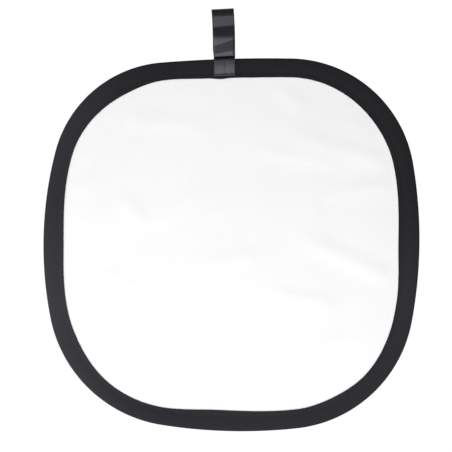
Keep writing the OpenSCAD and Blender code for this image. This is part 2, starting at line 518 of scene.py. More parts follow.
@dataclass
class Graph:
    """Short ways to add nodes to a tree and to wire them."""

    tree: Tree

    def node(self, kind: str, **settings: object) -> Node:
        """A new node with those properties set.

        Args:
            kind: the node's type.
            settings: its properties.

        Returns:
            The node.
        """
        made = self.tree.nodes.new(kind)
        for name, value in settings.items():
            setattr(made, name, value)
        return made

    def put(self, value: object, into: Socket) -> None:
        """Wires an output into an input, or sets the input's own value.

        Args:
            value: an output, or a plain value.
            into: the input.
        """
        if isinstance(value, Socket):
            self.tree.links.new(value, into)
        else:
            into.default_value = value

    def math(self, operation: str, *values: object) -> Socket:
        """The result of a Math node.

        Args:
            operation: what it does.
            values: its inputs, in order.

        Returns:
            The node's output.
        """
        made = self.node("ShaderNodeMath", operation=operation)
        for value, into in zip(values, made.inputs, strict=False):
            self.put(value, into)
        return made.outputs[0]

    def ramp(self, value: object, low: float, high: float, to_low: float = 0.0,
             to_high: float = 1.0) -> Socket:
        """Maps a value from one range to another, clamped, with a smooth step.

        Args:
            value: the value mapped.
            low: what maps to to_low.
            high: what maps to to_high.
            to_low: the result at low.
            to_high: the result at high.

        Returns:
            The mapped value.
        """
        made = self.node("ShaderNodeMapRange", interpolation_type="SMOOTHSTEP")
        for name, part in (("Value", value), ("From Min", low), ("From Max", high),
                           ("To Min", to_low), ("To Max", to_high)):
            self.put(part, made.inputs[name])
        return made.outputs[0]

    def spread(self, noise: object, to_low: float = 0.0, to_high: float = 1.0) -> Socket:
        """Maps the middle values of a noise, where most of it lies, to a whole range."""
        return self.ramp(noise, *NOISE_MIDDLE, to_low, to_high)

    def mix(self, share: object, low: object, high: object) -> Socket:
        """A blend of two colours.

        Args:
            share: how much of high there is.
            low: one colour, an output or a tuple of red, green and blue.
            high: the other.

        Returns:
            The blended colour.
        """
        made = self.node("ShaderNodeMix", data_type="RGBA")
        self.put(share, made.inputs["Factor"])
        for colour, name in ((low, "A"), (high, "B")):
            self.put((*colour, 1.0) if isinstance(colour, tuple) else colour, made.inputs[name])
        return made.outputs["Result"]

    def split(self, vector: object) -> bpy.types.NodeOutputs:
        """The X, Y and Z of a vector.

        Args:
            vector: the vector.

        Returns:
            Its three outputs.
        """
        made = self.node("ShaderNodeSeparateXYZ")
        self.put(vector, made.inputs[0])
        return made.outputs

    def noise(self, vector: object, scale: float, detail: float = 2.0, roughness: float = 0.5) -> Socket:
        """The grey value of a Noise Texture.

        Args:
            vector: where it is read.
            scale: how fine it is.
            detail: how many finer layers it has.
            roughness: how strong they are.

        Returns:
            The value, from 0 to 1.
        """
        made = self.node("ShaderNodeTexNoise")
        named = {"Vector": vector, "Scale": scale, "Detail": detail, "Roughness": roughness}
        for name, value in named.items():
            self.put(value, made.inputs[name])
        return made.outputs["Fac"]

    def stretched(self, vector: object, scale: Point) -> Socket:
        """A vector scaled differently along each axis.

        Args:
            vector: the vector.
            scale: one factor for each axis.

        Returns:
            The scaled vector.
        """
        made = self.node("ShaderNodeMapping")
        self.put(vector, made.inputs["Vector"])
        self.put(scale, made.inputs["Scale"])
        return made.outputs["Vector"]


def shared_group(name: str, inputs: dict[str, float], outputs: Sequence[str]) -> tuple[Graph, Node, Node]:
    """Starts a node group that reads a vector and some values.

    Args:
        name: the group's name.
        inputs: the name and the default of each value it reads.
        outputs: the names of the values it puts out.

    Returns:
        Its graph, and its input and output nodes.
    """
    tree = bpy.data.node_groups.new(name, "ShaderNodeTree")
    tree.interface.new_socket(name="Vector", in_out="INPUT", socket_type="NodeSocketVector")
    for label, default in inputs.items():
        made = tree.interface.new_socket(name=label, in_out="INPUT", socket_type="NodeSocketFloat")
        made.default_value = default
    for label in outputs:
        tree.interface.new_socket(name=label, in_out="OUTPUT", socket_type="NodeSocketFloat")
    graph = Graph(tree)
    return graph, graph.node("NodeGroupInput"), graph.node("NodeGroupOutput")


def weave_group() -> Tree:
    """Threads of a woven cloth, plain or twilled, on a map in metres.

    Returns:
        A group with the height of the threads, from 0 to 1, a mask of the gaps between them, and a
        slow unevenness of the yarn, from 0 to 1.
    """
    pitches = {"Warp Pitch": 0.5 * MM, "Weft Pitch": 0.5 * MM}
    g, entry, leave = shared_group("woven_threads", {**pitches, "Diagonal": 0.0}, ("Height", "Gap", "Yarn"))
    vector, diagonal = entry.outputs["Vector"], entry.outputs["Diagonal"]
    warp, weft = (
        g.math("MULTIPLY", g.math("DIVIDE", along, entry.outputs[pitch]), math.pi)
        for along, pitch in zip(g.split(vector), pitches, strict=False)
    )
    plain = g.math("MULTIPLY", g.math("SINE", warp), g.math("SINE", weft))
    rib = g.math("SINE", g.math("ADD", warp, weft))
    crossed = g.math("MULTIPLY", plain, g.math("SUBTRACT", 1.0, diagonal))
    height = g.math("MULTIPLY_ADD", g.math("ADD", crossed, g.math("MULTIPLY", rib, diagonal)), 0.5, 0.5)
    g.put(height, leave.inputs["Height"])
    g.put(g.ramp(height, *GAP_HEIGHTS), leave.inputs["Gap"])
    slubs, crossways = (g.noise(g.stretched(vector, scale), 1.0) for scale in YARN_SCALES)
    g.put(g.math("MULTIPLY", g.math("ADD", slubs, crossways), 0.5), leave.inputs["Yarn"])
    return g.tree


def mottle_group() -> Tree:
    """Slow unevenness of a dyed or handled surface, in the piece's own place.

    Returns:
        A group with a broad and a fine value, each about 0 to 1.
    """
    g, entry, leave = shared_group("mottle", {"Scale": 10.0}, ("Broad", "Fine"))
    vector, scale = entry.outputs["Vector"], entry.outputs["Scale"]
    g.put(g.noise(vector, scale, 3.0), leave.inputs["Broad"])
    g.put(g.noise(vector, g.math("MULTIPLY", scale, FINER), 2.0, 0.6), leave.inputs["Fine"])
    return g.tree


WOVEN = weave_group()
MOTTLE = mottle_group()


@dataclass
class Surface:
    """A new material with its graph and its Principled shader."""

    name: str
    material: Material = field(init=False)
    graph: Graph = field(init=False)
    shader: bpy.types.Node = field(init=False)

    def __post_init__(self) -> None:
        """Makes the material."""
        self.material = bpy.data.materials.new(self.name)
        self.material.use_nodes = True
        self.graph = Graph(self.material.node_tree)
        self.shader = self.material.node_tree.nodes["Principled BSDF"]

    def put(self, value: object, name: str) -> None:
        """Wires or sets one of the shader's sockets."""
        self.graph.put(value, self.shader.inputs[name])

    def on_cloth(self) -> Socket:
        """The piece's own map, in metres along and across."""
        return self.graph.node("ShaderNodeUVMap", uv_map="Cloth").outputs["UV"]

    def in_place(self) -> Socket:
        """The piece's own coordinates."""
        return self.graph.node("ShaderNodeTexCoord").outputs["Object"]

    def group(self, tree: Tree, vector: object, **values: float) -> Node:
        """Places a shared group, with its own values.

        Args:
            tree: the group.
            vector: what its Vector reads.
            values: its other inputs, with _ for a space.

        Returns:
            The group's node.
        """
        made = self.graph.node("ShaderNodeGroup")
        made.node_tree = tree
        self.graph.put(vector, made.inputs["Vector"])
        for name, value in values.items():
            made.inputs[name.replace("_", " ")].default_value = value
        return made

    def bump(self, height: object, distance: float, strength: float = 1.0) -> None:
        """Raises the surface.

        Args:
            height: the height, from 0 to 1.
            distance: how high 1 is, in metres.
            strength: how much of it shows.
        """
        made = self.graph.node("ShaderNodeBump")
        for value, name in ((strength, "Strength"), (distance, "Distance"), (height, "Height")):
            self.graph.put(value, made.inputs[name])
        self.put(made.outputs["Normal"], "Normal")


# ---- finishes

@dataclass(frozen=True)
class ClothFinish:
    """A matt woven cloth: its two yarn tones, its weave and how soft it looks."""

    name: str
    light: Point
    dark: Point
    weave: Weave
    pitch: float
    roughness: float
    specular: float
    sheen: float
    depth: float
    mottle: float = 0.5
    # Painted light: a lighter colour that one side of the cloth is painted towards, where light falls on
    # it.
    painted_light_tone: Point | None = None
    mottle_scale: float = 14.0
    yarn_share: float = 0.6
    gap_shade: float = 0.5
    sheen_roughness: float = 0.6
    # Spans in x and in z over which the painted light dies away from the lower left.
    painted_light_left: Pair = (-163 * MM, -53 * MM)
    painted_light_low: Pair = (-268 * MM, -148 * MM)

    def material(self) -> Material:
        """Makes the finish.

        Returns:
            The new material.
        """
        s = Surface(self.name)
        g = s.graph
        threads = s.group(WOVEN, s.on_cloth(), Warp_Pitch=self.pitch, Weft_Pitch=self.pitch,
                          Diagonal=self.weave.value)
        mottle = s.group(MOTTLE, s.in_place(), Scale=self.mottle_scale)
        wear_and_painted_shade = g.math("MULTIPLY_ADD", mottle.outputs["Broad"], self.mottle, (1 - self.mottle) / 2)
        wear_and_painted_shade = g.math("MULTIPLY", wear_and_painted_shade, 1 - self.yarn_share)
        yarn = g.math("MULTIPLY_ADD", threads.outputs["Yarn"], self.yarn_share, wear_and_painted_shade)
        tone = g.mix(g.spread(yarn), self.dark, self.light)
        shaded = g.mix(g.math("MULTIPLY", threads.outputs["Gap"], self.gap_shade), tone, self.dark)
        # Painted light: the lower left is lightened towards a lighter tone, as if lit from there.
        if self.painted_light_tone:
            shaded = g.mix(self.painted_light_share(g, s.in_place(), mottle), shaded, self.painted_light_tone)
        s.put(shaded, "Base Color")
        s.put(g.spread(mottle.outputs["Fine"], self.roughness - 0.05, self.roughness + 0.05), "Roughness")
        s.put(self.specular, "Specular IOR Level")
        s.put(self.sheen, "Sheen Weight")
        s.put(self.sheen_roughness, "Sheen Roughness")
        s.bump(threads.outputs["Height"], self.depth, 0.6)
        return s.material

    def painted_light_share(self, g: Graph, place: Socket, mottle: Node) -> Socket:
        """How much painted light lightens the tape at each place: most at the lower left, the side the
        light falls on.

        Args:
            g: the material's graph.
            place: the piece's own coordinates.
            mottle: the mottle group's node.

        Returns:
            A value from 0 to 1.
        """
        at = g.split(place)
        left = g.ramp(at["X"], *self.painted_light_left, 0.62, 0.0)
        low = g.ramp(at["Z"], *self.painted_light_low, 0.38, 0.0)
        uneven = g.math("MULTIPLY_ADD", mottle.outputs["Broad"], 0.3, 0.85)
        return g.math("MULTIPLY", g.math("ADD", left, low), uneven)


@dataclass(frozen=True)
class RibbonFinish:
    """A satin ribbon: long smooth floats that shine, with fine lines across, soft selvedges and painted
    shade in the crease at its seam.
    """

    name: str
    light: Point
    dark: Point
    width: float
    roughness: float
    specular: float
    tint: Point = (0.92, 0.88, 1.0)
    line_pitch: float = 0.35 * MM
    line_depth: float = 0.02 * MM
    mottle_scale: float = 60.0
    streak_scale: Point = (160.0, 1500.0, 1.0)
    selvedge: float = 1.1 * MM
    selvedge_blend: float = 0.5 * MM
    # Painted shade in the seam's crease: full within the first distance of the seam along the ribbon, gone
    # past the second.
    pinched: Pair = (0.7 * MM, 1.5 * MM)

    def material(self) -> Material:
        """Makes the finish.

        Returns:
            The new material.
        """
        s = Surface(self.name)
        g = s.graph
        cloth = s.on_cloth()
        threads = s.group(WOVEN, cloth, Warp_Pitch=self.line_pitch, Weft_Pitch=self.line_pitch * 4,
                          Diagonal=Weave.PLAIN.value)
        mottle = s.group(MOTTLE, s.in_place(), Scale=self.mottle_scale)
        streaks = g.noise(g.stretched(cloth, self.streak_scale), 1.0)
        tone = g.mix(g.spread(streaks), self.dark, self.light)
        at, half = g.split(cloth), self.width / 2
        edge = g.math("ABSOLUTE", g.math("SUBTRACT", at["Y"], half))
        selvedge = g.ramp(edge, half - self.selvedge, half - self.selvedge + self.selvedge_blend)
        # Painted shade: a band across the ribbon at its seam is darkened to the dark tone, standing in for
        # the shade in the crease.
        pinch = g.ramp(g.math("ABSOLUTE", at["X"]), *self.pinched, 1.0, 0.0)
        wear_and_painted_shade = g.math("MAXIMUM", g.math("MULTIPLY", selvedge, 0.55), pinch)
        s.put(g.mix(wear_and_painted_shade, tone, self.dark), "Base Color")
        rough = g.math("MULTIPLY_ADD", mottle.outputs["Fine"], 0.12, self.roughness - 0.06)
        s.put(g.math("MULTIPLY_ADD", g.math("MAXIMUM", selvedge, pinch), 0.3, rough), "Roughness")
        s.put(self.specular, "Specular IOR Level")
        s.put((*self.tint, 1.0), "Specular Tint")
        s.bump(threads.outputs["Height"], self.line_depth, 0.5)
        return s.material


@dataclass(frozen=True)
class ThreadFinish:
    """Polyester sewing thread: two plies twisted together."""

    name: str
    light: Point
    dark: Point
    mottle_scale: float = 300.0
    ply_scale: float = 900.0
    ply_depth: float = 0.04 * MM

    def material(self) -> Material:
        """Makes the finish.

        Returns:
            The new material.
        """
        s = Surface(self.name)
        g = s.graph
        ply = g.node("ShaderNodeTexWave", bands_direction="DIAGONAL")
        g.put(s.in_place(), ply.inputs["Vector"])
        g.put(self.ply_scale, ply.inputs["Scale"])
        mottle = s.group(MOTTLE, s.in_place(), Scale=self.mottle_scale)
        wear_and_painted_shade = g.math("MULTIPLY", mottle.outputs["Broad"], 0.4)
        share = g.math("MULTIPLY_ADD", ply.outputs["Fac"], 0.6, wear_and_painted_shade)
        s.put(g.mix(share, self.dark, self.light), "Base Color")
        s.put(g.spread(mottle.outputs["Fine"], 0.5, 0.65), "Roughness")
        s.put(0.3, "Specular IOR Level")
        s.bump(ply.outputs["Fac"], self.ply_depth, 0.6)
        return s.material


@dataclass(frozen=True)
class SteelFinish:
    """Rolled strip or plated sheet steel, with fine lines along it and a thin film of oil."""

    name: str
    light: Point
    dark: Point
    roughness: float
    mottle_scale: float = 40.0
    line_scale: Point = (40.0, 4000.0, 40.0)
    line_depth: float = 0.01 * MM

    def material(self) -> Material:
        """Makes the finish.

        Returns:
            The new material.
        """
        s = Surface(self.name)
        g = s.graph
        place = s.in_place()
        lines = g.noise(g.stretched(place, self.line_scale), 1.0, 3.0)
        mottle = s.group(MOTTLE, place, Scale=self.mottle_scale)
        s.put(g.mix(g.spread(mottle.outputs["Broad"]), self.dark, self.light), "Base Color")
        s.put(1.0, "Metallic")
        s.put(g.spread(lines, self.roughness - 0.08, self.roughness + 0.08), "Roughness")
        s.bump(lines, self.line_depth, 0.4)
        return s.material


WHITE_CLOTH = ClothFinish("white_cloth", (0.93, 0.93, 0.935), (0.89, 0.89, 0.9), Weave.PLAIN,
                          pitch=0.45 * MM, roughness=0.85, specular=0.15, sheen=0.05, depth=0.03 * MM)
BLACK_CLOTH = ClothFinish("black_cloth", (0.022, 0.022, 0.025), (0.012, 0.012, 0.014), Weave.PLAIN,
                          pitch=0.45 * MM, roughness=0.85, specular=0.2, sheen=0.08, depth=0.04 * MM)
# The tape's last colour is painted light, lightening its lower left side.
BLACK_TAPE = ClothFinish("binding_tape", (0.0178, 0.0172, 0.0202), (0.0136, 0.0131, 0.0155), Weave.TWILL,
                         pitch=0.55 * MM, roughness=0.95, specular=0.1, sheen=0.0, depth=0.04 * MM,
                         painted_light_tone=(0.041, 0.0395, 0.0465))
SATIN = RibbonFinish("satin_ribbon", (0.011, 0.0105, 0.0145), (0.003, 0.003, 0.004), width=20.2 * MM,
                     roughness=0.4, specular=0.66)
BLACK_THREAD = ThreadFinish("black_thread", (0.022, 0.022, 0.024), (0.01, 0.01, 0.011))
SPRING_STEEL = SteelFinish("spring_steel", (0.42, 0.44, 0.48), (0.3, 0.31, 0.35), 0.35)
PLATED_STEEL = SteelFinish("plated_steel", (0.7, 0.71, 0.73), (0.58, 0.59, 0.62), 0.3)


def dress(obj: Piece, material: Material) -> None:
    """Gives the whole object one material."""
    obj.data.materials.clear()
    obj.data.materials.append(material)


def place_for(obj: Piece, material: Material, slot: str, *nodes: str) -> None:
    """Dresses a new piece and puts it in the place of CAD nodes.

    Args:
        obj: the piece.
        material: its finish.
        slot: the slot's name; not used.
        nodes: the CAD nodes it stands for, if any.
    """
    dress(obj, material)
    if nodes:
        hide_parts(*nodes)


# ---- the fold

@dataclass(frozen=True)
class Fold:
    """The stretch of the panel that bends when its lower half folds up."""

    reach: float = 75 * MM

    def bend(self, obj: Piece) -> None:
        """Bakes the piece's transform into its mesh.

        Args:
            obj: the piece.
        """
        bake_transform(obj)


# ---- the rim

@dataclass
class Rim:
    """The black tape folded over the hoop, its lap and its stitching, all round the panel."""

    outline: Outline
    strap_x: float
    width: float = 17.3 * MM
    thickness: float = 0.5 * MM
    half: float = 3.1 * MM
    foot: float = 1.0 * MM
    nose: float = 1.2 * MM
    flat_from: float = 13.2 * MM
    fullness: float = 0.9
    step: float = 1.7 * MM
    ends_gap: float = 0.3 * MM
    lap_step: float = 1.5 * MM
    lap_gap: float = 0.05 * MM
    edge_to_stitch: float = 1.5 * MM
    stitch_pitch: float = 3.1 * MM
    stitch: Point = (2.6 * MM, 0.42 * MM, 0.34 * MM)
    stitch_lift: float = 0.08 * MM
    gather_height: float = 0.3 * MM
    gather_rest: float = 0.05 * MM
    gather_lengths: Pair = (5.0, 12.0)
    gather_count: int = 7
    gathers_from: float = 7 * MM
    gathers_over: float = 8 * MM
    tight: float = 200 * MM
    eased_over: int = 31
    # Where the front leg of the unevenly folded tape is wide or narrow: direction from the panel's
    # middle in degrees, anticlockwise from the right, and width in millimetres.
    widths: tuple[Pair, ...] = (
        (0, 19.1), (20, 17.4), (40, 18.7), (72, 17.1), (84, 17.4), (90, 17.3), (93.4, 18.1), (97.5, 17.1),
        (108, 16.1), (124, 18.9), (156, 15.4), (180, 18.2), (198, 16.5), (211, 17.4), (232, 15.7),
        (248, 15.8), (266, 18.7), (290, 17.1), (303, 17.8), (316, 16.6), (330, 17.2), (342, 16.6),
    )

    def leg(self, layer: Layer, place: Station) -> float:
        """Width of the tape on a side, where it is wide on one side because it is narrow on the other.

        Args:
            layer: the side.
            place: where along the outline.

        Returns:
            The width in metres.
        """
        x, z = place.arc.at(place.turned, 0.0)
        heading = math.degrees(math.atan2(z - self.outline.z, x - self.outline.x)) % 360
        stops = [*self.widths, (360, self.widths[0][1])]
        for (a, low), (b, high) in zip(stops, stops[1:], strict=False):
            if a <= heading <= b:
                front = (low + (high - low) * float(smooth((heading - a) / (b - a)))) * MM
        return front if layer is Layer.FRONT else self.width + (self.width - front) / 2

    def stitch_in(self, place: Station) -> float:
        """How far in the stitching runs, through both legs of the tape."""
        return min(self.leg(layer, place) for layer in Layer) - self.edge_to_stitch

    def rise(self, share: float) -> float:
        """Height of the tape's outside, from 0 where it lies flat to 1 at the start of the nose."""
        return self.foot + (self.half - self.foot) * math.sin(share * math.pi / 2) ** self.fullness

    def front(self, grow: float) -> list[Pair]:
        """The front half of the section's outside, from the sewn edge to the middle of the nose.

        Args:
            grow: how far outside the tape's own surface the line runs.

        Returns:
            The line as (inset, height) places.
        """
        flat = [(float(inset), self.foot + grow) for inset in np.linspace(self.width, self.flat_from, 6)]
        slope = [(self.flat_from + (self.nose - self.flat_from) * share, self.rise(share) + grow)
                 for share in np.linspace(0.1, 1.0, 10).tolist()]
        corner = []
        for share in np.linspace(0.2, 1.0, 5).tolist():
            angle = math.pi / 2 * (1 - share)
            corner.append((self.nose - (self.nose + grow) * math.cos(angle),
                           self.half - self.nose + (self.nose + grow) * math.sin(angle)))
        return [*flat, *slope, *corner, (-grow, (self.half - self.nose) / 2)]

    def line(self, grow: float) -> list[Pair]:
        """The whole outside of the section, from the front sewn edge round the nose to the rear one."""
        front = self.front(grow)
        return [*front, (-grow, 0.0), *[(inset, -height) for inset, height in reversed(front)]]

    def folded(self, inner: float, outer: float) -> list[Pair]:
        """The section of a layer between two distances outside the tape's surface."""
        return [*self.line(outer), *reversed(self.line(inner))]

    def across(self) -> np.ndarray:
        """How far each corner of the section lies across the tape, measured round the nose.

        Returns:
            One length for each corner of a folded layer.
        """
        line = np.array(self.line(0.0))
        lengths = np.concatenate([[0.0], np.cumsum(np.linalg.norm(np.diff(line, axis=0), axis=1))])
        return np.concatenate([lengths, lengths[::-1]])

    def gathers(self, places: list[Station]) -> np.ndarray:
        """How far the tape stands off the cloth at its sewn edge, at each station.

        The tape is straight, so its sewn edge is too long for the corners and lies there in small
        gathers, a stitch or two wide.

        Args:
            places: the stations of the spun tape.

        Returns:
            One height for each.
        """
        rng = np.random.default_rng(7)
        run = np.array([place.run for place in places])
        tight = np.array([place.arc.radius < self.tight for place in places], float)
        eased = np.convolve(tight, np.ones(self.eased_over) / self.eased_over, mode="same")[: len(run)]
        wave = sum(
            np.sin(TURN * run / (rng.uniform(*self.gather_lengths) * MM) + rng.uniform(0, TURN))
            for _ in range(self.gather_count)
        ) / self.gather_count
        return wave * (self.gather_height * eased + self.gather_rest)

    def settle(self, obj: Piece, places: list[Station], section: list[Pair]) -> None:
        """Gives the spun tape its uneven legs, its gathers and its map.

        Args:
            obj: the spun tape.
            places: its stations.
            section: its section.
        """
        inset = np.array([corner[0] for corner in section])
        side = np.sign([corner[1] for corner in section])
        leg = np.clip((inset - self.flat_from) / (self.width - self.flat_from), 0.0, 1.0)
        near = smooth((inset - self.gathers_from) / self.gathers_over) * side
        ring = coordinates(obj).reshape(len(places), len(section), 3)
        for k, (place, gather) in enumerate(zip(places, self.gathers(places), strict=True)):
            front, rear = (self.leg(layer, place) - self.width for layer in Layer)
            wider = np.where(side > 0, front, rear) * leg
            at = self.flat_from + (self.width + wider - self.flat_from) * leg
            held = 1.0 - 0.8 * np.exp(-(((at - self.stitch_in(place)) / (0.8 * MM)) ** 2))
            ring[k] -= np.outer(wider, place.outward())
            ring[k, :, 1] += Layer.FRONT.value * gather * near * held
        set_coordinates(obj, ring.reshape(-1, 3))
        run = np.repeat([place.run for place in places], len(section))
        set_uv(obj, np.stack([run, np.tile(self.across(), len(places))], 1))
        face_outwards(obj)
        shade(obj, 40)

    def tape(self) -> Piece:
        """The tape, spun round the outline from under the strap and back to it.

        Returns:
            The tape.
        """
        arcs = self.outline.started(0, self.strap_x, gap=self.ends_gap)
        section = self.folded(-self.thickness, 0.0)
        obj, places = spin_section("edge_binding", section, arcs, self.step)
        self.settle(obj, places, section)
        flat = (float(self.across().max()), sum(arc.radius * arc.sweep for arc in arcs))
        return obj

    def lap(self, length: float) -> Piece:
        """The short lap over the tape's two ends, hidden by the strap.

        Args:
            length: how long it is.

        Returns:
            The lap.
        """
        top = self.outline.started(0, self.strap_x + length / 2)[0]
        section = self.folded(self.lap_gap, self.lap_gap + self.thickness)
        arc = top.part(0, length / top.radius)
        obj, places = spin_section("binding_lap_tape", section, [arc], self.lap_step)
        self.settle(obj, places, section)
        float(self.across().max())
        return obj

    def stitches(self, layer: Layer, skip: float) -> Piece:
        """One side of the lockstitch row, each stitch a short thread sunk at both ends.

        Args:
            layer: the side of the panel.
            skip: half the width under the strap, where the row isn't seen.

        Returns:
            The row of stitches.
        """
        lift = -layer.value * (self.foot + self.stitch_lift)
        places = []
        for place in evenly_along(self.outline.started(0, self.strap_x), self.stitch_pitch):
            at = Vector(place.at(self.stitch_in(place), lift))
            if abs(at.x - self.strap_x) > skip or at.z < self.outline.z:
                along, out = place.along(), place.outward()
                turn = Matrix((along, out, along.cross(out))).transposed().to_4x4()
                places.append(Matrix.Translation(at) @ turn)
        return repeated(single_stitch(self.stitch), places, "binding_stitches_" + layer.name.lower())

    def build(self, fold: Fold) -> list[Piece]:
        """Builds and dresses the rim.

        Args:
            fold: the stretch that bends.

        Returns:
            The tape, its lap and its two rows of stitches.
        """
        low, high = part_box("binding_lap")
        strap_low, strap_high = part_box("strap_wrap")
        skip = (strap_high.x - strap_low.x) / 2
        tape, lap = self.tape(), self.lap(high.x - low.x)
        front, rear = self.stitches(Layer.FRONT, skip), self.stitches(Layer.REAR, skip)
        tape_finish, thread = BLACK_TAPE.material(), BLACK_THREAD.material()
        place_for(tape, tape_finish, "binding_tape", "binding_upper", "binding_lower")
        place_for(lap, tape_finish, "binding_tape", "binding_lap")
        place_for(front, thread, "black_thread", "binding_stitches_upper", "binding_stitches_lower")
        place_for(rear, thread, "black_thread")
        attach(lap, "panel_upper")
        for piece in (tape, front, rear):
            fold.bend(piece)
        return [tape, lap, front, rear]


# ---- the hoop

@dataclass
class Hoop:
    """The flat spring-steel strip inside the rim, and the sleeve and rivets that join its ends."""

    outline: Outline
    inset: float = 1.3 * MM
    thickness: float = 0.8 * MM
    width: float = 4.0 * MM
    edge: float = 0.2 * MM
    butt_gap: float = 0.4 * MM
    step: float = 3 * MM

    def section(self) -> list[Pair]:
        """The strip's section, with its edges eased.

        Returns:
            Its corners as (inset, height) places.
        """
        near, deep = self.inset, self.inset + self.thickness
        half, e = self.width / 2, self.edge
        outer = [(near + e, half), (near, half - e), (near, e - half), (near + e, -half)]
        return [*outer, (deep - e, -half), (deep, e - half), (deep, half - e), (deep - e, half)]

    def build(self, fold: Fold) -> list[Piece]:
        """Builds and dresses the strip, and dresses the sleeve and rivets.

        Args:
            fold: the stretch that bends.

        Returns:
            The strip.
        """
        arcs = self.outline.started(2, self.outline.x, self.butt_gap)
        strip, _ = spin_section("spring_hoop", self.section(), arcs, self.step)
        face_outwards(strip)
        shade(strip, 30)
        place_for(strip, SPRING_STEEL.material(), "spring_steel", "hoop_upper", "hoop_lower")
        fold.bend(strip)
        plated = PLATED_STEEL.material()
        for node in ("hoop_joiner", "joiner_rivets"):
            dress(frame["nodes"][node], plated)
        return [strip]


# ---- the two faces

@dataclass(frozen=True)
class Crease:
    """A faint tension line in a stretched face, from one place to another.

    Places are shares of the panel's half width and half height, from its middle.
    """

    start: Pair
    end: Pair
    depth: float
    breadth: float


def creases(*rows: tuple[float, ...]) -> tuple[Crease, ...]:
    """Tension lines from rows of numbers.

    Args:
        rows: each the x and z of its start and of its end, and its depth and breadth in millimetres.
    """
    return tuple(Crease(row[:2], row[2:4], row[4] * MM, row[5] * MM) for row in rows)


FRONT_CREASES = creases(
    (0.98, 0.42, 0.24, 0.62, 0.55, 9), (0.98, 0.36, 0.45, 0.27, 0.50, 8),
    (0.97, -0.22, 0.32, 0.08, 0.65, 9), (0.60, -0.32, 0.18, -0.24, 0.45, 8),
    (-0.42, 0.05, -0.12, 0.32, 0.50, 8), (-0.42, 0.08, -0.60, 0.30, 0.45, 8),
    (-0.98, 0.38, -0.72, 0.50, 0.45, 7), (-0.97, 0.24, -0.66, 0.34, 0.45, 7),
    (-0.62, 0.66, -0.05, 0.61, 0.45, 9), (0.14, -0.02, -0.14, -0.12, 0.45, 7),
    (0.10, 0.50, 0.66, 0.40, 0.45, 8), (0.42, 0.72, 0.20, 0.92, 0.40, 7),
    (-0.30, -0.30, -0.80, -0.10, 0.40, 9), (-0.75, -0.55, -0.30, -0.62, 0.35, 9),
    (0.25, -0.60, 0.80, -0.50, 0.35, 9),
)
REAR_CREASES = creases(
    (0.95, 0.30, 0.30, 0.45, 0.55, 9), (-0.95, 0.45, -0.30, 0.30, 0.50, 9),
    (-0.96, -0.20, -0.25, -0.05, 0.55, 9), (0.96, -0.35, 0.35, -0.20, 0.50, 9),
    (-0.40, 0.70, 0.35, 0.66, 0.45, 8), (-0.15, -0.45, 0.45, -0.62, 0.45, 8),
    (-0.60, -0.60, -0.20, -0.75, 0.40, 8),
)


